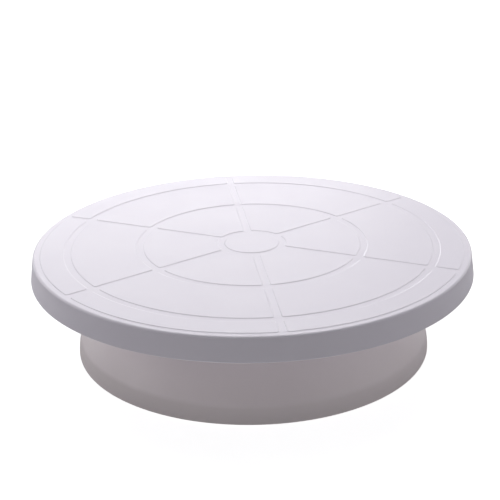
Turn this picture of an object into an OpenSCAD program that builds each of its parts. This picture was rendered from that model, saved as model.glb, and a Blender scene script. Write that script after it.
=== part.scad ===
// Cake turntable: a grooved plate that turns on a ball race over a tapered base.
// Millimetres, +Z up. The origin is on the floor, below the centre of the base.

/* [Overall] */
// Height from the floor to the plate's top face
total_h = 69.4; // [68:0.2:74]
// Diameter of the turning plate
plate_d = 280; // [270:1:300]
// Diameter of the base at its lower edge
base_d = 226; // [220:1:230]

/* [Plate] */
// Thickness of the plate's deck
deck_t = 2.8; // [2.4:0.1:3.4]
// Height of the plate's skirt, from its top face to its lower edge
skirt_h = 15; // [14:0.5:17]
// Wall thickness of the skirt
skirt_t = 2.2; // [1.8:0.1:3]
// How far the skirt leans out between the rim and its lower edge
skirt_lean = 1.8; // [0.2:0.2:2.4]
// Radius of the round between the rim and the skirt
rim_round = 1.6; // [1:0.1:2]
// Height of the ribs under the deck
plate_rib_h = 4; // [2:0.5:4.5]
// Number of long ribs under the deck
plate_ribs = 12; // [6:6:24]

/* [Guide grooves] */
// Width of the ring and spoke grooves
groove_w = 4.6; // [3:0.1:6]
// Depth of the grooves
groove_d = 0.3; // [0.2:0.05:0.8]
// Middle radius of the inner ring groove
ring_1_r = 19.5; // [16:0.5:24]
// Middle radius of the second ring groove
ring_2_r = 71; // [60:1:80]
// Middle radius of the third ring groove
ring_3_r = 116.5; // [105:0.5:120]
// Width of the low rim, from the step round the panels to the plate's widest edge
rim_w = 6.6; // [6:0.1:8]
// Number of spoke grooves
spokes = 6; // [4:1:8]

/* [Base] */
// Wall thickness of the base
wall_t = 2.4; // [2:0.1:3]
// Height of the base's lower band, which leans in a little
band_h = 9.6; // [8:0.1:11]
// Radius of the round above the band
shoulder_r = 10; // [8:0.5:12]
// Slope of the wall where it leaves that round, measured from vertical
flare_angle = 30; // [27:1:36]
// Slope of the wall where it meets the round at the top of the base, from vertical
neck_angle = 22; // [16:1:23]
// Number of ribs inside the base
base_ribs = 12; // [6:6:12]
// Height of the ribs inside the base
base_rib_h = 6; // [4:0.5:7]

/* [Bearing] */
// Diameter of each steel ball
ball_d = 6.35; // [6:0.05:6.5]
// Radius of the circle that the balls run on
race_r = 55; // [54:0.5:57]
// Thickness of the cage that spaces the balls
cage_t = 2; // [1.6:0.1:2.2]
// Diameter of the plate's centre post
post_d = 16; // [14:0.5:17]
// Outer diameter of the bush that the post turns in
bush_d = 20; // [19.5:0.5:21]

/* [Feet] */
// Diameter of each rubber foot
foot_d = 16; // [14:0.5:17]
// Height that the feet stand proud of the base's lower edge
foot_proud = 1.2; // [0.8:0.1:1.6]
// Gap between each foot and the inside of the base's wall
foot_gap = 1.1; // [0.6:0.1:1.4]

/* [Hidden] */
$fn = 128;
balls = 16;
feet = 6;
BALL_NAMES = [for (i = [1 : balls]) str("ball_", i < 10 ? "0" : "", i)];
FOOT_NAMES = [for (i = [1 : feet]) str("foot_", i)];

overlap = 0.2;         // how far ribs and bosses run into the wall that carries them
run_gap = 0.05;        // radial clearance of the post in its bush and of the screw in the post
roll_gap = 0.15;       // clearance between a ball and its races
rib_t = 1.8;           // thickness of every rib
cut = 1;               // how far a cutting shape runs past the face that it cuts
arc_steps = 10;        // straight pieces that stand for a long arc in an outline
small_fn = 64;         // facets of a small round

// Plate
plate_r = plate_d / 2;
rim_top_r = plate_r - skirt_lean;
panel_r = plate_r - rim_w;
groove_z = total_h - groove_d;
plate_under_z = total_h - deck_t;
plate_rib_z = plate_under_z - plate_rib_h;
skirt_z = total_h - skirt_h;
ring_ribs = [86, 112]; // middle radii of the ring ribs under the deck
post_r = post_d / 2;
post_boss_r = post_r + 3;

// Bearing, from the top down
ball_r = ball_d / 2;
race_boss_t = 3;       // how far the upper race stands below the plate's deck
race_lip = 1.5;        // height from the ball's centre to the race boss above and to the base below
ball_z = plate_under_z - race_boss_t - race_lip;
top_z = ball_z - race_lip;
race_half_w = 6.5;     // half the width of the race bosses
race_in = race_r - race_half_w;
race_out = race_r + race_half_w;
cage_half_w = 5;       // half the width of the cage
bead_w = 1.2;          // width of the bead along each edge of the cage
bead_h = 0.2;          // how far that bead stands proud

// Base
base_r = base_d / 2;
top_t = 2.6;           // thickness of the base's flat top
base_under_z = top_z - top_t;
race_rib_t = 2.4;      // extra thickness under the lower race
edge_round = 3;        // round where the wall meets the top of the base
neck_z = top_z - edge_round * (1 - sin(neck_angle));
band_round_r = 40;     // radius of the band's slight outward bow
band_lean = asin(band_h / band_round_r);
band_top = [base_r - band_round_r * (1 - cos(band_lean)), foot_proud + band_h];
shoulder_c = band_top - shoulder_r * [cos(band_lean), sin(band_lean)];
shoulder_end = shoulder_c + shoulder_r * [cos(flare_angle), sin(flare_angle)];
flare_r = (neck_z - shoulder_end.y) / (sin(flare_angle) - sin(neck_angle));
flare_c = shoulder_end + flare_r * [cos(flare_angle), sin(flare_angle)];
neck_r = flare_c.x - flare_r * cos(neck_angle);
base_rib_z = foot_proud + band_h + 6;

// Hub, from the top down
bush_r = bush_d / 2;
hub_r = bush_r + 3.2;
hub_z = top_z - 25;
bush_top_z = top_z - 0.5;
bush_flange_t = 1.5;
end_play = 0.2;        // how far the plate can lift before the washer meets the bush
post_end_z = hub_z - bush_flange_t - end_play;
washer_r = 12;
washer_t = 1.5;
washer_hole_r = 2.65;
washer_z = post_end_z - washer_t;
screw_r = 2.4;         // thread radius of the self-tapping screw
screw_len = 19;
screw_hole_len = 21;
head_r = 4.8;
head_t = 3;
head_round = 1.8;
head_z = washer_z - head_t;

// Feet
foot_r = foot_d / 2;
foot_circle_r = base_r - wall_t - foot_gap - foot_r;
foot_t = 2.8;
foot_edge = 0.6;       // chamfer round the foot's lower face
foot_web_t = 2.2;      // web of the base between the foot's pad and its barb
foot_web_z = foot_t + foot_web_t;
foot_stem_r = 2.5;
foot_barb_r = 3.4;
foot_barb_h = 2.2;
foot_boss_r = foot_r + 2;
foot_boss_lift = 0.6;  // how far the boss stops short of the base's lower edge

// Points of an arc about centre c, from angle a to angle b
function arc(c, r, a, b, n = arc_steps) =
    [for (i = [0 : n]) let (t = a + (b - a) * i / n) c + r * [cos(t), sin(t)]];

// Outline of the base's wall at a depth below its outer face, from the lower edge to the neck
function wall_line(depth) = concat(
    arc([base_r - band_round_r, foot_proud], band_round_r - depth, 0, band_lean, 4),
    arc(shoulder_c, shoulder_r - depth, band_lean, flare_angle, 6),
    arc(flare_c, flare_r + depth, 180 + flare_angle, 180 + neck_angle)
);

// Angle at which a circle of radius r about the flare's centre reaches a height
function flare_turn(r, z) = 180 + asin((flare_c.y - z) / r);

function reversed(list) = [for (i = [len(list) - 1 : -1 : 0]) list[i]];

// A flat rib of an outline drawn in the radius and height plane, standing at an angle
module upright(angle, thickness) {
    rotate([0, 0, angle])
        rotate([90, 0, 0])
            translate([0, 0, -thickness / 2])
                linear_extrude(thickness)
                    children();
}

// A ring of rectangular section
module ring(r_in, r_out, z, h) {
    rotate_extrude()
        translate([r_in, z])
            square([r_out - r_in, h]);
}

// ---- Plate ----

module plate_outline() {
    lip_r = skirt_t / 2;
    polygon(concat(
        [[0, total_h], [panel_r, total_h], [panel_r, groove_z]],
        arc([rim_top_r - rim_round, groove_z - rim_round], rim_round, 90, 0, 6),
        arc([plate_r - lip_r, skirt_z + lip_r], lip_r, 0, -180, 8),
        [[rim_top_r - skirt_t, plate_under_z], [0, plate_under_z]]
    ));
}

module guide_grooves() {
    for (r = [ring_1_r, ring_2_r, ring_3_r])
        ring(r - groove_w / 2, r + groove_w / 2, groove_z, groove_d + cut);
    for (i = [0 : spokes - 1])
        rotate([0, 0, -90 + i * 360 / spokes])
            translate([ring_1_r, -groove_w / 2, groove_z])
                cube([panel_r + cut - ring_1_r, groove_w, groove_d + cut]);
}

// One straight rib from one radius to another, hanging under the deck
module deck_rib(angle, from, to) {
    upright(angle, rib_t)
        translate([from, plate_rib_z])
            square([to - from, plate_rib_h + overlap]);
}

module plate_ribs_under() {
    for (i = [0 : plate_ribs - 1])
        deck_rib((i + 0.5) * 360 / plate_ribs, race_out - overlap, rim_top_r - skirt_t + 2 * overlap);
    for (i = [0 : plate_ribs / 2 - 1])
        deck_rib(i * 720 / plate_ribs, post_boss_r - 1, race_in + overlap);
    for (r = ring_ribs)
        ring(r - rib_t / 2, r + rib_t / 2, plate_rib_z, plate_rib_h + overlap);
}

// Channel that the balls run in, cut half into the plate and half into the base
module race_cut() {
    rotate_extrude()
        translate([race_r, ball_z])
            circle(r = ball_r + roll_gap);
}

module plate() {
    color("whitesmoke")
        difference() {
            union() {
                rotate_extrude() plate_outline();
                plate_ribs_under();
                ring(race_in, race_out, plate_under_z - race_boss_t, race_boss_t + overlap);
                translate([0, 0, plate_rib_z])
                    cylinder(r = post_boss_r, h = plate_rib_h + overlap);
                translate([0, 0, post_end_z])
                    cylinder(r = post_r, h = plate_under_z - post_end_z + overlap);
            }
            guide_grooves();
            race_cut();
            translate([0, 0, post_end_z - cut])
                cylinder(r = screw_r, h = screw_hole_len + cut);
        }
}

// ---- Base ----

module base_wall_outline() {
    inner = wall_line(wall_t);
    corner = [neck_r - edge_round * cos(neck_angle), top_z - edge_round];
    inner_neck_r = neck_r - wall_t * cos(neck_angle);
    polygon(concat(
        wall_line(0),
        arc(corner, edge_round, neck_angle, 90, 6),
        [[bush_r, top_z], [bush_r, base_under_z], [inner_neck_r, base_under_z]],
        reversed(inner)
    ));
}

// One rib: it hangs under the top of the base and follows the inside of the flare
module base_rib_outline() {
    outer_r = flare_r + wall_t - overlap;
    inner_r = flare_r + wall_t + base_rib_h;
    start_r = bush_r + 2;
    high_z = base_under_z + overlap;
    low_z = base_under_z - base_rib_h;
    polygon(concat(
        arc(flare_c, outer_r, flare_turn(outer_r, base_rib_z), 180 + neck_angle),
        [[flare_c.x - outer_r * cos(neck_angle), high_z], [start_r, high_z], [start_r, low_z]],
        arc(flare_c, inner_r, flare_turn(inner_r, low_z), flare_turn(inner_r, base_rib_z))
    ));
}

module foot_boss(angle) {
    rotate([0, 0, angle])
        translate([foot_circle_r, 0, foot_proud + foot_boss_lift])
            cylinder(r = foot_boss_r, h = foot_web_z - foot_proud - foot_boss_lift);
}

module foot_seat(angle) {
    rotate([0, 0, angle])
        translate([foot_circle_r, 0, 0]) {
            cylinder(r = foot_r, h = foot_t);
            cylinder(r = foot_stem_r, h = foot_web_z + cut);
        }
}

module base_shell() {
    color("whitesmoke")
        difference() {
            union() {
                rotate_extrude() base_wall_outline();
                ring(bush_r, hub_r, hub_z, base_under_z - hub_z + overlap);
                ring(race_in, race_out, base_under_z - race_rib_t, race_rib_t + overlap);
                for (i = [0 : base_ribs - 1])
                    upright((i + 0.5) * 360 / base_ribs, rib_t) base_rib_outline();
                for (i = [0 : feet - 1])
                    foot_boss((i + 0.5) * 360 / feet);
            }
            race_cut();
            for (i = [0 : feet - 1])
                foot_seat((i + 0.5) * 360 / feet);
        }
}

// ---- Bearing ----

module ball_cage() {
    bead_z = ball_z - cage_t / 2 - bead_h;
    bead_t = cage_t + 2 * bead_h;
    color("ivory")
        difference() {
            union() {
                ring(race_r - cage_half_w, race_r + cage_half_w, ball_z - cage_t / 2, cage_t);
                ring(race_r - cage_half_w, race_r - cage_half_w + bead_w, bead_z, bead_t);
                ring(race_r + cage_half_w - bead_w, race_r + cage_half_w, bead_z, bead_t);
            }
            for (i = [0 : balls - 1])
                rotate([0, 0, i * 360 / balls])
                    translate([race_r, 0, ball_z - cage_t])
                        cylinder(r = ball_r + roll_gap, h = 2 * cage_t, $fn = small_fn);
        }
}

module ball(index) {
    color("silver")
        rotate([0, 0, (index - 1) * 360 / balls])
            translate([race_r, 0, ball_z])
                sphere(d = ball_d, $fn = small_fn);
}

module hub_bush() {
    bore_r = post_r + run_gap;
    flange_z = hub_z - bush_flange_t;
    color("ivory")
        rotate_extrude()
            polygon([
                [bore_r, flange_z], [hub_r, flange_z], [hub_r, hub_z],
                [bush_r, hub_z], [bush_r, bush_top_z], [bore_r, bush_top_z]
            ]);
}

module steel_washer() {
    color("silver")
        difference() {
            translate([0, 0, washer_z])
                cylinder(r = washer_r, h = washer_t);
            translate([0, 0, washer_z - cut])
                cylinder(r = washer_hole_r, h = washer_t + 2 * cut);
        }
}

// Pan head below, plain shank in place of the thread, and a blunt point in the post
module retaining_screw() {
    tip_z = washer_z + screw_len;
    tip_len = 3;
    tip_r = 0.5;
    shank_r = screw_r - run_gap;
    recess_w = 1.1;
    recess_l = 4.6;
    recess_d = 1.7;
    color("silver")
        difference() {
            rotate_extrude()
                polygon(concat(
                    [[0, head_z]],
                    arc([head_r - head_round, head_z + head_round], head_round, -90, 0, 6),
                    [[head_r, washer_z], [shank_r, washer_z]],
                    [[shank_r, tip_z - tip_len], [tip_r, tip_z], [0, tip_z]]
                ));
            for (angle = [0, 90])
                rotate([0, 0, angle])
                    translate([-recess_l / 2, -recess_w / 2, head_z - cut])
                        cube([recess_l, recess_w, recess_d + cut]);
        }
}

// ---- Feet ----

// A rubber pad in its seat, with a stem through the web and a barb above it
module foot(index) {
    barb_z = foot_web_z + foot_barb_h;
    barb_tip_r = foot_stem_r - 0.6;
    color("dimgray")
        rotate([0, 0, (index - 0.5) * 360 / feet])
            translate([foot_circle_r, 0, 0])
                rotate_extrude($fn = small_fn)
                    polygon([
                        [0, 0], [foot_r - foot_edge, 0], [foot_r, foot_edge], [foot_r, foot_t],
                        [foot_stem_r, foot_t], [foot_stem_r, foot_web_z],
                        [foot_barb_r, foot_web_z], [barb_tip_r, barb_z], [0, barb_z]
                    ]);
}

plate();
base_shell();
ball_cage();
hub_bush();
steel_washer();
retaining_screw();
for (i = [1 : balls]) ball(i);
for (i = [1 : feet]) foot(i);
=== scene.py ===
"""Looks of the cake turntable: clean moulded meshes, their materials, and a plain pale studio."""

import math

import bmesh
import bpy
from mathutils import Matrix, Vector
from mathutils.geometry import delaunay_2d_cdt


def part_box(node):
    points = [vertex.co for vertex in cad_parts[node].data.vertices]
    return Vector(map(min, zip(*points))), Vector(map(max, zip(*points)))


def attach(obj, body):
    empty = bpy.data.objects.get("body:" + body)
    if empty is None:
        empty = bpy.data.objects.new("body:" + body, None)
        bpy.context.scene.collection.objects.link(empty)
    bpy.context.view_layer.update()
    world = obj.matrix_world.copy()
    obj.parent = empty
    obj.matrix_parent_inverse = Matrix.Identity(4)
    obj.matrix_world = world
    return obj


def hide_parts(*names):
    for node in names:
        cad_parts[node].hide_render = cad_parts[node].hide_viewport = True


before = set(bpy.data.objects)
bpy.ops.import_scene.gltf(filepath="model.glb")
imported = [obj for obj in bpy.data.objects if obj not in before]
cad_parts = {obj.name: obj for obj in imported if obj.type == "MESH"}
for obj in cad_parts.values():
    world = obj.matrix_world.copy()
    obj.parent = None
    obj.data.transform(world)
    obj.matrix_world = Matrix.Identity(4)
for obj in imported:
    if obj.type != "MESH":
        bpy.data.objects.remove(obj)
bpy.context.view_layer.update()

MM = 0.001
TURN = 2 * math.pi
SEGMENTS = 360        # facets round the plate and the base
SMALL_SEGMENTS = 96   # facets round a small part
ARC_STEP = math.radians(15)
SHARP_ANGLE = math.radians(40)
SAME_POINT = 1e-7     # points closer than this are one point
CDT_GAP = 1e-9        # and the same while the groove floor is cut into triangles
SLIVER = 0.001 * MM   # an edge shorter than this was left over by a boolean
OVERLAP = 0.3 * MM    # how far a rib or a boss runs into what it grows from
EDGE = 0.4 * MM       # round on a free edge
SMALL_EDGE = 0.2 * MM
ROOT = 0.5 * MM       # round where two faces meet

# ---- Sizes, in metres: the outer ones come from the frame ----

PLATE_LOW, PLATE_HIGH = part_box("plate")
BASE_LOW, BASE_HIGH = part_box("base_shell")
BUSH_LOW, BUSH_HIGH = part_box("hub_bush")
WASHER_LOW, WASHER_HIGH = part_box("steel_washer")
SCREW_LOW, SCREW_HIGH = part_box("retaining_screw")
BALL_LOW, BALL_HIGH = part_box("ball_01")

# Plate
TOP_Z = PLATE_HIGH.z
PLATE_R = PLATE_HIGH.x
POST_END_Z = PLATE_LOW.z
DECK_T = 2.8 * MM
DECK_UNDER_Z = TOP_Z - DECK_T
SKIRT_T = 2.2 * MM
SKIRT_H = 15 * MM
SKIRT_Z = TOP_Z - SKIRT_H
SKIRT_LEAN = 1.8 * MM
RIM_TOP_R = PLATE_R - SKIRT_LEAN
RIM_ROUND = 1.6 * MM
RIM_CORNER_IN = 0.2 * MM
RIM_INSIDE = 2 * MM       # the low rim is turned from this far inside the skirt's top
LIP_INNER_ROUND = SKIRT_T * 0.45
SKIRT_ROOT = 1.2 * MM     # round where the deck meets the skirt; the ribs run through it
RIB_T = 1.8 * MM
RIB_ROOT = RIB_T / 2      # half the rib's thickness where it grows from a wall
RIB_TIP = RIB_T * 0.38    # and at its free edge
RIB_EDGE = 0.3 * MM
RIB_END = 1 * MM          # how far a rib runs into the bosses at its ends
DECK_RIB_Z = DECK_UNDER_Z - 4 * MM
DECK_RIBS = 12
RING_RIBS = (112 * MM, 86 * MM)
POST_R = 8 * MM
POST_BOSS_R = POST_R + 3 * MM
POST_ROOT = 0.8 * MM
RACE_BOSS_T = 3 * MM
SCREW_HOLE_R = 2.4 * MM
SCREW_HOLE_DEPTH = 21 * MM

# Guide grooves, and the raised panels that they part
SPOKES = 6
GROOVE_W = 4.6 * MM
GROOVE_DEPTH = 0.3 * MM
GROOVE_Z = TOP_Z - GROOVE_DEPTH
RING_GROOVES = (19.5 * MM, 71 * MM, 116.5 * MM)
RIM_W = 6.6 * MM
PANEL_R = PLATE_R - RIM_W
PANEL_CORNER_R = 1.5 * MM
PANEL_SLOPE_W = 0.8 * MM
PANEL_SLOPE_STEPS = 6
DISC_SEGMENTS = 90

# Bearing
BALL_R = (BALL_HIGH.z - BALL_LOW.z) / 2
BALL_Z = (BALL_HIGH.z + BALL_LOW.z) / 2
RACE_R = (BALL_HIGH.x + BALL_LOW.x) / 2
RACE_HALF_W = 6.5 * MM
RACE_IN = RACE_R - RACE_HALF_W
RACE_OUT = RACE_R + RACE_HALF_W
BALL_GAP = 0.15 * MM
CHANNEL_R = BALL_R + BALL_GAP

# Base
BASE_R = BASE_HIGH.x
BASE_Z = BASE_LOW.z
BASE_TOP_Z = BASE_HIGH.z
BASE_DECK_T = 2.6 * MM
BASE_UNDER_Z = BASE_TOP_Z - BASE_DECK_T
RACE_RIB_T = 2.4 * MM
WALL_T = 2.4 * MM
DECK_ROUND = 1.5 * MM
RACE_ROOT = 0.6 * MM
HUB_ROOT = 1 * MM
BAND_H = 9.6 * MM
BAND_BOW_R = 40 * MM
SHOULDER_R = 10 * MM
SLOPE_ANGLE = math.radians(30)
NECK_ANGLE = math.radians(22)
TOP_ROUND = 3 * MM
NECK_Z = BASE_TOP_Z - TOP_ROUND * (1 - math.sin(NECK_ANGLE))
BASE_RIB_Z = BASE_Z + BAND_H + 6 * MM
BASE_RIBS = 12
BASE_RIB_H = 6 * MM
BUSH_R = 10 * MM
BASE_RIB_R = BUSH_R + 1.5 * MM    # where the ribs start, inside the hub's wall
HUB_R = BUSH_HIGH.x
BUSH_FLANGE_T = 1.5 * MM
HUB_Z = BUSH_LOW.z + BUSH_FLANGE_T

# Feet
FEET = 6
FOOT_R = 8 * MM
FOOT_T = 2.8 * MM
FOOT_WEB_Z = 5 * MM
FOOT_STEM_R = 2.5 * MM
FOOT_BARB_R = 3.4 * MM
FOOT_BARB_END_R = 1.9 * MM
FOOT_BARB_L = 2.2 * MM
FOOT_BOSS_R = FOOT_R + 2 * MM
FOOT_BOSS_Z = BASE_Z + 0.6 * MM
FOOT_SEAT_LEAD = 0.3 * MM
FOOT_TO_WALL = 1.1 * MM
FOOT_CIRCLE_R = BASE_R - WALL_T - FOOT_R - FOOT_TO_WALL
FOOT_SOLE = (                        # radius, height and round, from the middle out to the pad's edge
    (0, 0.5 * MM), (2 * MM, 0.5 * MM, SMALL_EDGE),
    (2.5 * MM, 0, SMALL_EDGE), (5 * MM, 0, SMALL_EDGE),
    (5.3 * MM, 0.4 * MM, 0.15 * MM), (5.9 * MM, 0.4 * MM, 0.15 * MM),
    (6.2 * MM, 0, SMALL_EDGE), (FOOT_R, 0, 0.7 * MM),
)

# Screw, washer and bush
BUSH_GAP = 0.05 * MM
BUSH_EDGE = 0.3 * MM
WASHER_HOLE_R = 2.65 * MM
WASHER_EDGE = 0.35 * MM
WASHER_BURR = 0.15 * MM
SHANK_R = 2.35 * MM
SHANK_END_R = 0.5 * MM
SHANK_END_ROUND = 0.3 * MM
SHANK_TAPER = 3 * MM
HEAD_ROUND = 1.8 * MM
SCREW_SEGMENTS = 64
RECESS_LONG = 2.3 * MM
RECESS_SHORT = 0.55 * MM
RECESS_DEPTH = 1.7 * MM
RECESS_TAPER = 0.72


# ---- Outlines: lists of (radius, height) points, or of (x, y) points seen from above ----

def polar(radius, angle):
    """The point at a radius and an angle."""
    return Vector((radius * math.cos(angle), radius * math.sin(angle)))


def arc(centre, radius, start, end, step=ARC_STEP):
    """Points of an arc, both ends included."""
    steps = max(2, math.ceil(abs(end - start) / step))
    angles = [start + (end - start) * i / steps for i in range(steps + 1)]
    return [Vector(centre) + polar(radius, angle) for angle in angles]


def rounded(corners, step=ARC_STEP):
    """An outline whose corners (r, z, round) are rounded; one with no third value stays as it is."""
    points = []
    for i, corner in enumerate(corners):
        here = Vector(corner[:2])
        if len(corner) == 2 or corner[2] == 0:
            points.append(here)
            continue
        to_last = (Vector(corners[i - 1][:2]) - here).normalized()
        to_next = (Vector(corners[(i + 1) % len(corners)][:2]) - here).normalized()
        half = to_last.angle(to_next) / 2
        centre = here + (to_last + to_next).normalized() * corner[2] / math.sin(half)
        first = here + to_last * corner[2] / math.tan(half) - centre
        last = here + to_next * corner[2] / math.tan(half) - centre
        start = math.atan2(first.y, first.x)
        turn = math.atan2(first.x * last.y - first.y * last.x, first.dot(last))
        points += arc(centre, corner[2], start, start + turn, step)
    return points


def race_channel(start, end):
    """The ball channel's arc, between the heights at which it meets a flat face."""
    return arc((RACE_R, BALL_Z), CHANNEL_R, start, end, math.radians(12))


def wall_line(depth):
    """The base's wall at a depth below its outer face, from its lower edge to its neck."""
    lean = math.asin(BAND_H / BAND_BOW_R)
    bow_centre = Vector((BASE_R - BAND_BOW_R, BASE_Z))
    shoulder_centre = bow_centre + polar(BAND_BOW_R - SHOULDER_R, lean)
    shoulder_end = shoulder_centre + polar(SHOULDER_R, SLOPE_ANGLE)
    slope_r = (NECK_Z - shoulder_end.y) / (math.sin(SLOPE_ANGLE) - math.sin(NECK_ANGLE))
    slope_centre = shoulder_end + polar(slope_r, SLOPE_ANGLE)
    slope_start, slope_end = math.pi + SLOPE_ANGLE, math.pi + NECK_ANGLE
    return (
        arc(bow_centre, BAND_BOW_R - depth, 0, lean, math.radians(4))[:-1]
        + arc(shoulder_centre, SHOULDER_R - depth, lean, SLOPE_ANGLE, math.radians(6))[:-1]
        + arc(slope_centre, slope_r + depth, slope_start, slope_end, math.radians(1))
    )


def panel_outline(inner, outer, start, inset):
    """A panel between two rings and two spoke grooves, drawn back by an inset, with rounded corners."""
    end = start + TURN / SPOKES
    side = GROOVE_W / 2 + PANEL_CORNER_R
    round_r = PANEL_CORNER_R - inset
    far, near = outer - PANEL_CORNER_R, inner + PANEL_CORNER_R
    far_start, far_end = start + math.asin(side / far), end - math.asin(side / far)
    near_start, near_end = start + math.asin(side / near), end - math.asin(side / near)
    quarter = math.pi / 2
    fine = TURN / SEGMENTS
    return (
        arc(polar(far, far_start), round_r, start - quarter, far_start)[:-1]
        + arc((0, 0), outer - inset, far_start, far_end, fine)[:-1]
        + arc(polar(far, far_end), round_r, far_end, end + quarter)
        + arc(polar(near, near_end), round_r, end + quarter, near_end + math.pi)[:-1]
        + arc((0, 0), inner + inset, near_end, near_start, fine)[:-1]
        + arc(polar(near, near_start), round_r, near_start + math.pi, start + 3 * quarter)
    )


# ---- Meshes ----

def ring_of(bm, point, segments):
    """One ring of vertices at an outline's point, or one vertex on the axis."""
    radius, height = point
    if radius < SAME_POINT:
        return [bm.verts.new((0, 0, height))]
    return [bm.verts.new((*polar(radius, TURN * i / segments), height)) for i in range(segments)]


def band(bm, low, high):
    """Faces between two loops of vertices, either of which may be a single vertex."""
    count = max(len(low), len(high))
    for i in range(count):
        j = (i + 1) % count
        corners = [low[i % len(low)], low[j % len(low)], high[j % len(high)], high[i % len(high)]]
        bm.faces.new(list(dict.fromkeys(corners)))


def revolve(bm, outline, segments=SMALL_SEGMENTS, closed=True):
    """Turns an outline about the Z axis. A closed outline has its last point joined to its first."""
    rings = [ring_of(bm, point, segments) for point in outline]
    for i in range(len(rings) if closed else len(rings) - 1):
        low, high = rings[i], rings[(i + 1) % len(rings)]
        if len(low) > 1 or len(high) > 1:
            band(bm, low, high)


def mesh_object(bm, name):
    """An object made of a bmesh, with doubled points merged and every face turned outwards."""
    bmesh.ops.remove_doubles(bm, verts=bm.verts, dist=SAME_POINT)
    bmesh.ops.recalc_face_normals(bm, faces=bm.faces)
    mesh = bpy.data.meshes.new(name)
    bm.to_mesh(mesh)
    bm.free()
    piece = bpy.data.objects.new(name, mesh)
    bpy.context.scene.collection.objects.link(piece)
    return piece


def turned(name, outline, segments=SMALL_SEGMENTS):
    """An object turned from a closed outline."""
    bm = bmesh.new()
    revolve(bm, outline, segments)
    return mesh_object(bm, name)


def combine(piece, operation, tool):
    """Adds a tool object to a piece or cuts it away, and removes the tool."""
    modifier = piece.modifiers.new("combine", "BOOLEAN")
    modifier.operation = operation
    modifier.solver = "MANIFOLD"
    modifier.object = tool
    result = piece.evaluated_get(bpy.context.evaluated_depsgraph_get())
    mesh = bpy.data.meshes.new_from_object(result)
    piece.modifiers.clear()
    piece.data = mesh
    bpy.data.objects.remove(tool)


def rib_star(name, outline, count, first_angle):
    """Ribs of an outline (r, z, half thickness) at equal angles, with rounded edges."""
    bm = bmesh.new()
    for i in range(count):
        about = Matrix.Rotation(first_angle + TURN * i / count, 4, "Z")
        sides = []
        for side in (-1, 1):
            corners = [about @ Vector((r, side * half, z)) for r, z, half in outline]
            sides.append([bm.verts.new(corner) for corner in corners])
        caps = [bm.faces.new(side) for side in sides]
        band(bm, *sides)
        edges = {edge for cap in caps for edge in cap.edges}
        bmesh.ops.bevel(bm, geom=list(edges), offset=RIB_EDGE, segments=2, affect="EDGES", profile=0.5)
    return mesh_object(bm, name)


def drop_slivers(piece):
    """Merges the points that a boolean leaves closer together than any real edge."""
    bm = bmesh.new()
    bm.from_mesh(piece.data)
    bmesh.ops.remove_doubles(bm, verts=bm.verts, dist=SLIVER)
    bmesh.ops.dissolve_degenerate(bm, edges=bm.edges, dist=SLIVER)
    bm.to_mesh(piece.data)
    bm.free()


def shade(piece):
    """Smooth shading that keeps true edges, with normals led by the large faces."""
    piece.data.polygons.foreach_set("use_smooth", [True] * len(piece.data.polygons))
    piece.data.set_sharp_from_angle(angle=SHARP_ANGLE)
    weighted = piece.modifiers.new("weighted normals", "WEIGHTED_NORMAL")
    weighted.keep_sharp = True
    weighted.weight = 100


def settle(piece, material, body, node):
    """Gives a piece its shading and finish, and puts it in a CAD node's place."""
    drop_slivers(piece)
    shade(piece)
    piece.data.materials.clear()
    piece.data.materials.append(material)
    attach(piece, body)
    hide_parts(node)
    return piece


# ---- Plate ----

def plate_outline():
    """From the low rim, down the leaning skirt and back under the deck, to the screw hole's end."""
    corners = [
        (RIM_TOP_R - RIM_INSIDE, GROOVE_Z),
        (RIM_TOP_R - RIM_CORNER_IN, GROOVE_Z, RIM_ROUND),
        (PLATE_R, SKIRT_Z, EDGE),
        (PLATE_R - SKIRT_T, SKIRT_Z, LIP_INNER_ROUND),
        (RIM_TOP_R - SKIRT_T, DECK_UNDER_Z, SKIRT_ROOT),
    ]
    for middle in RING_RIBS:
        corners += [
            (middle + RIB_ROOT, DECK_UNDER_Z, ROOT),
            (middle + RIB_ROOT, DECK_RIB_Z, EDGE),
            (middle - RIB_ROOT, DECK_RIB_Z, EDGE),
            (middle - RIB_ROOT, DECK_UNDER_Z, ROOT),
        ]
    boss_z = DECK_UNDER_Z - RACE_BOSS_T
    lip = math.asin((boss_z - BALL_Z) / CHANNEL_R)
    corners += [(RACE_OUT, DECK_UNDER_Z, ROOT), (RACE_OUT, boss_z, EDGE)]
    corners += race_channel(lip, math.pi - lip)
    corners += [
        (RACE_IN, boss_z, EDGE),
        (RACE_IN, DECK_UNDER_Z, ROOT),
        (POST_BOSS_R, DECK_UNDER_Z, POST_ROOT),
        (POST_BOSS_R, DECK_RIB_Z, ROOT),
        (POST_R, DECK_RIB_Z, ROOT),
        (POST_R, POST_END_Z, EDGE),
        (SCREW_HOLE_R, POST_END_Z),
        (SCREW_HOLE_R, POST_END_Z + SCREW_HOLE_DEPTH),
        (0, POST_END_Z + SCREW_HOLE_DEPTH),
    ]
    return rounded(corners)


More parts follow.
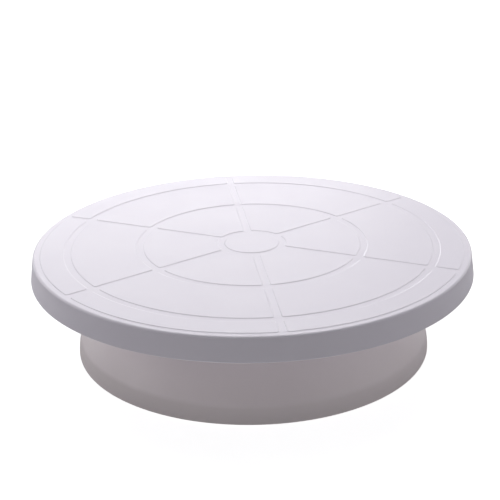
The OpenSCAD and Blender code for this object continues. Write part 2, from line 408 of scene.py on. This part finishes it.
def panel_loops():
    """For each panel, its outline at each level from the groove floor up to the flat of its top."""
    levels = []
    for i in range(PANEL_SLOPE_STEPS + 1):
        t = i / PANEL_SLOPE_STEPS
        rise = (1 - math.cos(math.pi * t)) / 2
        levels.append((PANEL_SLOPE_W * (t - 0.5), GROOVE_Z + GROOVE_DEPTH * rise))
    half = GROOVE_W / 2
    disc_r = RING_GROOVES[0] - half
    disc_step = TURN / DISC_SEGMENTS
    panels = [[(arc((0, 0), disc_r - inset, 0, TURN, disc_step)[:-1], z) for inset, z in levels]]
    walls = [RING_GROOVES[0] + half, RING_GROOVES[1] - half, RING_GROOVES[1] + half,
             RING_GROOVES[2] - half, RING_GROOVES[2] + half, PANEL_R]
    for inner, outer in zip(walls[::2], walls[1::2]):
        for i in range(SPOKES):
            start = -TURN / 4 + TURN * i / SPOKES
            panels.append([(panel_outline(inner, outer, start, inset), z) for inset, z in levels])
    return panels


def groove_floor(bm, outer_ring, feet_of_panels):
    """The flat floor of the grooves and of the low rim: what the panels leave of the disc."""
    points, loops = [], []
    for loop in [outer_ring] + feet_of_panels:
        loops.append(list(range(len(points), len(points) + len(loop))))
        points += loop
    made, _, triangles, _, _, sources = delaunay_2d_cdt(points, [], loops, 0, CDT_GAP, True)
    verts = [bm.verts.new((point.x, point.y, GROOVE_Z)) for point in made]
    for triangle, source in zip(triangles, sources):
        if list(source) == [0]:
            bm.faces.new([verts[i] for i in triangle])
    for vert in verts:
        if not vert.link_faces:
            bm.verts.remove(vert)


def make_plate(material):
    """The turned body of the plate, its raised panels, the groove floor between them, and its ribs."""
    bm = bmesh.new()
    outline = plate_outline()
    revolve(bm, outline, SEGMENTS, closed=False)
    panels = panel_loops()
    for panel in panels:
        loops = [[bm.verts.new((*point, z)) for point in loop] for loop, z in panel]
        for low, high in zip(loops, loops[1:]):
            band(bm, low, high)
        bm.faces.new(loops[-1])
    rim_foot = [polar(outline[0].x, TURN * i / SEGMENTS) for i in range(SEGMENTS)]
    groove_floor(bm, rim_foot, [panel[0][0] for panel in panels])
    plate = mesh_object(bm, "grooved_plate")
    high, low = DECK_UNDER_Z + OVERLAP, DECK_RIB_Z
    for first, last, count, angle in (
        (RACE_OUT - RIB_END, RIM_TOP_R - SKIRT_T + SKIRT_ROOT, DECK_RIBS, TURN / DECK_RIBS / 2),
        (POST_BOSS_R - RIB_END, RACE_IN + RIB_END, DECK_RIBS // 2, 0),
    ):
        outline = [
            (first, low, RIB_TIP), (last, low, RIB_TIP),
            (last, high, RIB_ROOT), (first, high, RIB_ROOT),
        ]
        combine(plate, "UNION", rib_star("deck_ribs", outline, count, angle))
    return settle(plate, material, "turntable", "plate")


# ---- Base ----

def base_outline():
    """The base's section: up its outer face, over the race, down the bore, and back under the deck."""
    outer, inner = wall_line(0), wall_line(WALL_T)
    top_r = outer[-1].x - (BASE_TOP_Z - NECK_Z) * math.tan(NECK_ANGLE)
    inner_top_r = inner[-1].x - (BASE_UNDER_Z - inner[-1].y) * math.tan(NECK_ANGLE)
    lip = math.asin((BALL_Z - BASE_TOP_Z) / CHANNEL_R)
    boss_z = BASE_UNDER_Z - RACE_RIB_T
    corners = [(outer[0].x, BASE_Z, ROOT)] + outer[1:-1] + [(top_r, BASE_TOP_Z, TOP_ROUND)]
    corners += race_channel(-lip, lip - math.pi)
    corners += [
        (BUSH_R, BASE_TOP_Z, ROOT),
        (BUSH_R, HUB_Z),
        (HUB_R, HUB_Z, EDGE),
        (HUB_R, BASE_UNDER_Z, HUB_ROOT),
        (RACE_IN, BASE_UNDER_Z, RACE_ROOT),
        (RACE_IN, boss_z, ROOT),
        (RACE_OUT, boss_z, ROOT),
        (RACE_OUT, BASE_UNDER_Z, RACE_ROOT),
        (inner_top_r, BASE_UNDER_Z, DECK_ROUND),
    ]
    return rounded(corners + inner[-2:0:-1] + [(inner[0].x, BASE_Z, ROOT)])


def base_rib_outline():
    """A rib under the deck that follows the inside of the sloping wall."""
    slope = [point for point in wall_line(WALL_T - OVERLAP) if point.y > BASE_RIB_Z]
    high, low = BASE_UNDER_Z + OVERLAP, BASE_UNDER_Z - BASE_RIB_H
    free_edge = [point for point in wall_line(WALL_T + BASE_RIB_H) if slope[0].y <= point.y < low]
    return (
        [(point.x, point.y, RIB_ROOT) for point in slope]
        + [(slope[-1].x, high, RIB_ROOT), (BASE_RIB_R, high, RIB_ROOT), (BASE_RIB_R, low, RIB_TIP)]
        + [(point.x, point.y, RIB_TIP) for point in reversed(free_edge)]
    )


def foot_places():
    """Matrices that carry a part from the axis to each foot."""
    out = Matrix.Translation((FOOT_CIRCLE_R, 0, 0))
    for i in range(FEET):
        yield Matrix.Rotation((i + 0.5) * TURN / FEET, 4, "Z") @ out


def at_each_foot(name, outline):
    """One mesh that holds a turned outline at every foot."""
    bm = bmesh.new()
    for place in foot_places():
        start = len(bm.verts)
        revolve(bm, outline)
        bm.verts.ensure_lookup_table()
        bmesh.ops.transform(bm, matrix=place, verts=bm.verts[start:])
    return mesh_object(bm, name)


def make_base(material):
    """The turned shell of the base with its ribs, and the bosses in which the feet sit."""
    base = turned("tapered_base", base_outline(), SEGMENTS)
    ribs = rib_star("base_ribs", base_rib_outline(), BASE_RIBS, TURN / BASE_RIBS / 2)
    combine(base, "UNION", ribs)
    boss = rounded([
        (0, FOOT_WEB_Z), (0, FOOT_BOSS_Z),
        (FOOT_BOSS_R, FOOT_BOSS_Z, EDGE), (FOOT_BOSS_R, FOOT_WEB_Z, EDGE),
    ])
    combine(base, "UNION", at_each_foot("foot_bosses", boss))
    seat_top, lead_r = FOOT_WEB_Z + 1 * MM, FOOT_R + FOOT_SEAT_LEAD
    seat = rounded([
        (0, seat_top), (0, 0), (lead_r, 0), (lead_r, FOOT_BOSS_Z),
        (FOOT_R, FOOT_BOSS_Z + FOOT_SEAT_LEAD), (FOOT_R, FOOT_T),
        (FOOT_STEM_R, FOOT_T), (FOOT_STEM_R, seat_top),
    ])
    combine(base, "DIFFERENCE", at_each_foot("foot_seats", seat))
    return settle(base, material, "base", "base_shell")


# ---- Small parts ----

def make_bush(material):
    """The flanged bush in the hub."""
    bore_r, low, high = POST_R + BUSH_GAP, BUSH_LOW.z, BUSH_HIGH.z
    outline = rounded([
        (bore_r, low, BUSH_EDGE), (HUB_R, low, BUSH_EDGE), (HUB_R, HUB_Z, SMALL_EDGE),
        (BUSH_R, HUB_Z), (BUSH_R, high, EDGE), (bore_r, high, EDGE),
    ])
    return settle(turned("flanged_bush", outline), material, "base", "hub_bush")


def make_washer(material):
    """The punched washer: rounder below, where the punch drew the metal in."""
    low, high, outer_r = WASHER_LOW.z, WASHER_HIGH.z, WASHER_HIGH.x
    outline = rounded([
        (WASHER_HOLE_R, low, WASHER_BURR), (outer_r, low, WASHER_EDGE),
        (outer_r, high, WASHER_BURR), (WASHER_HOLE_R, high),
    ])
    return settle(turned("flat_washer", outline), material, "turntable", "steel_washer")


def cross_recess(name, low):
    """A tapered cross that cuts the drive recess in the screw's head."""
    bm = bmesh.new()
    for half_x, half_y in ((RECESS_LONG, RECESS_SHORT), (RECESS_SHORT, RECESS_LONG)):
        for vert in bmesh.ops.create_cube(bm, size=2)["verts"]:
            x, y, z = vert.co
            shrink = RECESS_TAPER if z > 0 else 1
            vert.co = (x * half_x * shrink, y * half_y * shrink, low + z * RECESS_DEPTH)
    return mesh_object(bm, name)


def make_screw(material):
    """The pan-head screw that holds the washer to the post, head down."""
    low, high, head_r, head_top = SCREW_LOW.z, SCREW_HIGH.z, SCREW_HIGH.x, WASHER_LOW.z
    outline = rounded([
        (0, low), (head_r, low, HEAD_ROUND), (head_r, head_top, SMALL_EDGE), (SHANK_R, head_top),
        (SHANK_R, high - SHANK_TAPER, ROOT), (SHANK_END_R, high, SHANK_END_ROUND), (0, high),
    ])
    screw = turned("pan_head_screw", outline, SCREW_SEGMENTS)
    combine(screw, "DIFFERENCE", cross_recess("recess", low))
    return settle(screw, material, "turntable", "retaining_screw")


def make_foot(index, place, material):
    """A rubber pad with a shallow ring in its sole, and the barbed stem that holds it in the base."""
    barb_z = FOOT_WEB_Z + FOOT_BARB_L
    outline = rounded([
        *FOOT_SOLE, (FOOT_R, FOOT_T), (FOOT_STEM_R, FOOT_T), (FOOT_STEM_R, FOOT_WEB_Z),
        (FOOT_BARB_R, FOOT_WEB_Z, SMALL_EDGE), (FOOT_BARB_END_R, barb_z, EDGE), (0, barb_z),
    ])
    foot = turned(f"rubber_foot_{index}", outline)
    foot.data.transform(place)
    return settle(foot, material, "base", f"foot_{index}")


# ---- Materials ----

# Each finish has two tones, between which a noise drifts
PLATE_TONES = ((0.757, 0.718, 0.802, 1), (0.742, 0.703, 0.792, 1))
BASE_TONES = ((0.745, 0.682, 0.695, 1), (0.732, 0.67, 0.685, 1))
ACETAL_TONES = ((0.66, 0.62, 0.52, 1), (0.60, 0.56, 0.46, 1))
NYLON_TONES = ((0.72, 0.68, 0.55, 1), (0.66, 0.62, 0.50, 1))
RUBBER_TONES = ((0.012, 0.012, 0.013, 1), (0.03, 0.03, 0.032, 1))
STEEL_TONES = ((0.58, 0.59, 0.61, 1), (0.47, 0.48, 0.51, 1))
PLASTIC_IOR = 1.49

# Heights of the surface grain
MOULD_WAVE = 0.2 * MM
SPARK_GRAIN = 0.04 * MM
RUBBER_GRAIN = 0.08 * MM
SCRATCH = 0.03 * MM


class Nodes:
    """A material's node tree, with short calls that add and join nodes."""

    def __init__(self, name):
        self.material = bpy.data.materials.new(name)
        self.material.use_nodes = True
        self.tree = self.material.node_tree
        self.shader = self.tree.nodes["Principled BSDF"]
        self.place = self.add("ShaderNodeTexCoord").outputs["Object"]

    def add(self, kind, inputs=(), **settings):
        """A new node, with values or links for its inputs."""
        node = self.tree.nodes.new(kind)
        for key, value in settings.items():
            setattr(node, key, value)
        for key, value in dict(inputs).items():
            self.put(value, node.inputs[key])
        return node

    def put(self, value, socket):
        """Links another node's output to a socket, or sets the socket's value."""
        if isinstance(value, bpy.types.NodeSocket):
            self.tree.links.new(value, socket)
        else:
            socket.default_value = value

    def finish(self, **inputs):
        """Sets inputs of the surface shader; an underscore stands for a space in an input's name."""
        for key, value in inputs.items():
            self.put(value, self.shader.inputs[key.replace("_", " ")])

    def noise(self, scale, detail=2, roughness=0.5, place=None):
        """A noise with so many cells to the metre."""
        made = self.add("ShaderNodeTexNoise", {
            "Vector": place or self.place, "Scale": scale, "Detail": detail, "Roughness": roughness,
        })
        return made.outputs["Fac"]

    def spread(self, value, low, high, from_low=0.3, from_high=0.7):
        """A value's middle range spread over new limits."""
        made = self.add("ShaderNodeMapRange", {
            "Value": value, "From Min": from_low, "From Max": from_high, "To Min": low, "To Max": high,
        })
        return made.outputs["Result"]

    def blend(self, factor, tones):
        """A colour between two tones."""
        made = self.add("ShaderNodeMix", data_type="RGBA")
        values = {"Factor_Float": factor, "A_Color": tones[0], "B_Color": tones[1]}
        for socket in made.inputs:
            if socket.identifier in values:
                self.put(values[socket.identifier], socket)
        return next(s for s in made.outputs if s.identifier == "Result_Color")

    def bump(self, height, strength, distance, under=None):
        """A normal bent by a height, over another bump where one is given."""
        inputs = {"Height": height, "Strength": strength, "Distance": distance}
        if under is not None:
            inputs["Normal"] = under
        return self.add("ShaderNodeBump", inputs).outputs["Normal"]


def moulded_plastic(name, tones, roughness):
    """Satin polypropylene: a faint drift of tone, uneven gloss and the mould's fine spark grain."""
    n = Nodes(name)
    drift = n.noise(14, 3)
    patches = n.noise(60, 4, 0.6)
    grain = n.noise(2600, 2, 0.6)
    waves = n.bump(n.noise(35, 2), 0.25, MOULD_WAVE)
    n.finish(
        Base_Color=n.blend(n.spread(drift, 0, 1), tones),
        Roughness=n.spread(patches, roughness - 0.04, roughness + 0.05),
        Normal=n.bump(grain, 0.3, SPARK_GRAIN, waves),
        IOR=PLASTIC_IOR,
    )
    return n.material


def rubber(name):
    """Matt black-grey rubber with moulding grain and dust."""
    n = Nodes(name)
    dust = n.noise(300, 4, 0.7)
    n.finish(
        Base_Color=n.blend(n.spread(dust, 0, 1), RUBBER_TONES),
        Roughness=n.spread(dust, 0.62, 0.85),
        Normal=n.bump(n.noise(1800, 3), 0.4, RUBBER_GRAIN),
    )
    return n.material


def nylon(name, tones):
    """Natural nylon or acetal: waxy, a little uneven in tone."""
    n = Nodes(name)
    n.finish(
        Base_Color=n.blend(n.spread(n.noise(120, 3), 0, 1), tones),
        Roughness=n.spread(n.noise(500, 3), 0.34, 0.5),
        Normal=n.bump(n.noise(2200, 2), 0.2, SPARK_GRAIN),
    )
    return n.material


def steel(name, roughness, scratch_strength):
    """Zinc-plated or polished steel: metallic, with a crystalline drift of tone and fine scratches."""
    n = Nodes(name)
    spangle = n.noise(700, 3, 0.6)
    stretched = n.add("ShaderNodeMapping", {"Vector": n.place, "Scale": (1, 12, 1)}).outputs["Vector"]
    n.finish(
        Metallic=1,
        Base_Color=n.blend(n.spread(spangle, 0, 1), STEEL_TONES),
        Roughness=n.spread(n.noise(1500, 3), roughness * 0.8, roughness * 1.25),
        Normal=n.bump(n.noise(900, 4, 0.7, stretched), scratch_strength, SCRATCH),
    )
    return n.material


# ---- Studio ----

FLOOR_GLOW = 0.82
FLOOR_TONES = ((0.5, 0.5, 0.505, 1), (0.51, 0.51, 0.51, 1))
BOUNCE_TONES = ((0.48, 0.48, 0.48, 1), (0.52, 0.52, 0.52, 1))
BACKDROP_WHITE = (0.985, 0.985, 0.99, 1)
FLOOR_Z = -0.2 * MM
BOUNCE_Z = -0.3 * MM
SHEET_SIZE = 6        # metres from the middle of the floor to its edge
DOME_R = 8

# The camera stands 0.8 m from the cake face, looks down at it and leans by a degree
CAMERA_AZIMUTH = math.radians(-7)
CAMERA_ELEVATION = math.radians(21.375)
CAMERA_ROLL = math.radians(-0.947)
CAMERA_DISTANCE = 0.8006
CAMERA_LENS = 90.6    # on a sensor 36 mm wide
CAMERA_SHIFT = (-0.0036, -0.015)

LIGHT_AIM = Vector((0, 0, 0.05))
SOFT_BOXES = (        # name, azimuth from the front, elevation, distance, width, watts
    ("key", 180, 52, 1.1, 1.8, 10.3),
    ("top", 180, 85, 1.6, 0.9, 2.0),
    ("back", 180, 8, 1.6, 0.9, 6.6),
    ("back_right", 135, 8, 1.6, 0.9, 3.0),
    ("back_left", 225, 8, 1.6, 0.9, 2.9),
    ("right", 90, 28, 1.6, 0.9, 1.9),
    ("front_right", 45, 20, 1.6, 0.9, 0.5),
    ("left", 270, 25, 1.6, 0.9, 2.2),
    ("below", 0, -90, 1.6, 0.9, 14),
)
SOFT_BOX_H = 0.6
WORLD_BANDS = (       # place from the nadir (0) to the zenith (1), and brightness
    (0.5, 0.02), (0.56, 0.1), (0.59, 1.0), (0.69, 1.0), (0.72, 0.05),
)


def away_from(azimuth, elevation):
    """The direction from the object towards an azimuth, counted from the front, and an elevation."""
    level = math.cos(elevation)
    return Vector((math.sin(azimuth) * level, -math.cos(azimuth) * level, math.sin(elevation)))


def make_camera():
    """A camera at the photograph's point of view, sharp from front to back."""
    data = bpy.data.cameras.new("camera")
    data.sensor_width, data.lens = 36, CAMERA_LENS
    data.shift_x, data.shift_y = CAMERA_SHIFT
    data.clip_start, data.clip_end = 0.01, 50
    camera = bpy.data.objects.new("camera", data)
    bpy.context.scene.collection.objects.link(camera)
    back = away_from(CAMERA_AZIMUTH, CAMERA_ELEVATION)
    right = Vector((math.cos(CAMERA_AZIMUTH), math.sin(CAMERA_AZIMUTH), 0))
    across = right * math.cos(CAMERA_ROLL) + back.cross(right) * math.sin(CAMERA_ROLL)
    turn = Matrix((across, back.cross(across), back)).transposed()
    place = Vector((0, 0, TOP_Z)) + back * CAMERA_DISTANCE
    camera.matrix_world = Matrix.Translation(place) @ turn.to_4x4()
    bpy.context.scene.camera = camera


def floor_sheet(name, height, material):
    """A flat sheet whose face looks up, and which casts no shadow."""
    bm = bmesh.new()
    level = Matrix.Translation((0, 0, height))
    bmesh.ops.create_grid(bm, x_segments=8, y_segments=8, size=SHEET_SIZE, matrix=level)
    sheet = mesh_object(bm, name)
    if sheet.data.polygons[0].normal.z < 0:
        sheet.data.flip_normals()
    sheet.visible_shadow = False
    sheet.data.materials.append(material)
    return sheet


def make_floor():
    """A pale paper, seen from above only, so that the object can be looked at from below."""
    n = Nodes("floor_paper")
    n.finish(
        Base_Color=n.blend(n.noise(3, 2), FLOOR_TONES), Roughness=0.9,
        Emission_Color=(1, 1, 1, 1), Emission_Strength=FLOOR_GLOW,
    )
    clear = n.add("ShaderNodeBsdfTransparent").outputs["BSDF"]
    back = n.add("ShaderNodeNewGeometry").outputs["Backfacing"]
    mix = n.add("ShaderNodeMixShader", {0: back, 1: n.shader.outputs["BSDF"], 2: clear})
    n.put(mix.outputs["Shader"], n.tree.nodes["Material Output"].inputs["Surface"])
    floor = floor_sheet("floor", FLOOR_Z, n.material)
    floor.visible_diffuse = False
    floor.visible_glossy = False


def make_bounce():
    """A greyer sheet that the camera doesn't see, for the light that the floor throws back up."""
    n = Nodes("bounce_card")
    n.finish(Base_Color=n.blend(n.noise(3, 2), BOUNCE_TONES), Roughness=1, Specular_IOR_Level=0)
    card = floor_sheet("bounce", BOUNCE_Z, n.material)
    card.visible_camera = False


def make_backdrop():
    """A far white dome that only the camera sees, behind the floor's edge."""
    bm = bmesh.new()
    bmesh.ops.create_icosphere(bm, subdivisions=4, radius=DOME_R)
    dome = mesh_object(bm, "backdrop")
    n = Nodes("backdrop_white")
    glow = n.add("ShaderNodeEmission", {"Color": BACKDROP_WHITE})
    n.put(glow.outputs["Emission"], n.tree.nodes["Material Output"].inputs["Surface"])
    dome.data.materials.append(n.material)
    for ray in ("diffuse", "glossy", "transmission", "shadow", "volume_scatter"):
        setattr(dome, f"visible_{ray}", False)


def make_world():
    """Soft room light, brightest in a band a little above the horizon."""
    world = bpy.data.worlds.new("studio")
    bpy.context.scene.world = world
    world.use_nodes = True
    tree = world.node_tree
    place = tree.nodes.new("ShaderNodeTexCoord")
    height = tree.nodes.new("ShaderNodeSeparateXYZ")
    ramp = tree.nodes.new("ShaderNodeValToRGB")
    spread = tree.nodes.new("ShaderNodeMapRange")
    tree.links.new(place.outputs["Generated"], height.inputs[0])
    tree.links.new(height.outputs["Z"], spread.inputs["Value"])
    spread.inputs["From Min"].default_value = -1
    tree.links.new(spread.outputs["Result"], ramp.inputs["Fac"])
    tree.links.new(ramp.outputs["Color"], tree.nodes["Background"].inputs["Color"])
    stops = ramp.color_ramp.elements
    while len(stops) < len(WORLD_BANDS):
        stops.new(1)
    for stop, (position, level) in zip(stops, WORLD_BANDS):
        stop.position, stop.color = position, (level, level, level, 1)


def make_lights():
    """Soft boxes round the object, each aimed at its middle."""
    for name, azimuth, elevation, distance, width, watts in SOFT_BOXES:
        data = bpy.data.lights.new(name, "AREA")
        data.shape, data.size, data.size_y = "RECTANGLE", width, SOFT_BOX_H
        data.energy = watts
        light = bpy.data.objects.new(name, data)
        bpy.context.scene.collection.objects.link(light)
        away = away_from(math.radians(azimuth), math.radians(elevation))
        light.location = LIGHT_AIM + away * distance
        light.rotation_euler = (-away).to_track_quat("-Z", "Y").to_euler()


make_camera()
make_world()
make_lights()
make_floor()
make_bounce()
make_backdrop()

make_plate(moulded_plastic("plate_plastic_pp", PLATE_TONES, roughness=0.42))
make_base(moulded_plastic("base_plastic_pp", BASE_TONES, roughness=0.38))
make_bush(nylon("bush_acetal", ACETAL_TONES))
zinc = steel("zinc_plate", roughness=0.46, scratch_strength=0.08)
make_washer(zinc)
make_screw(zinc)
foot_rubber = rubber("foot_rubber_black")
for number, where in enumerate(foot_places(), start=1):
    make_foot(number, where, foot_rubber)

# The cage and the balls keep the CAD's own meshes
cage_nylon = nylon("cage_nylon_natural", NYLON_TONES)
ball_steel = steel("ball_steel_polished", roughness=0.1, scratch_strength=0.05)
for node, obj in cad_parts.items():
    if node.startswith("ball_"):
        obj.data.materials.clear()
        obj.data.materials.append(cage_nylon if node == "ball_cage" else ball_steel)

scene = bpy.context.scene
scene.view_settings.view_transform = "Standard"
scene.view_settings.look = "None"
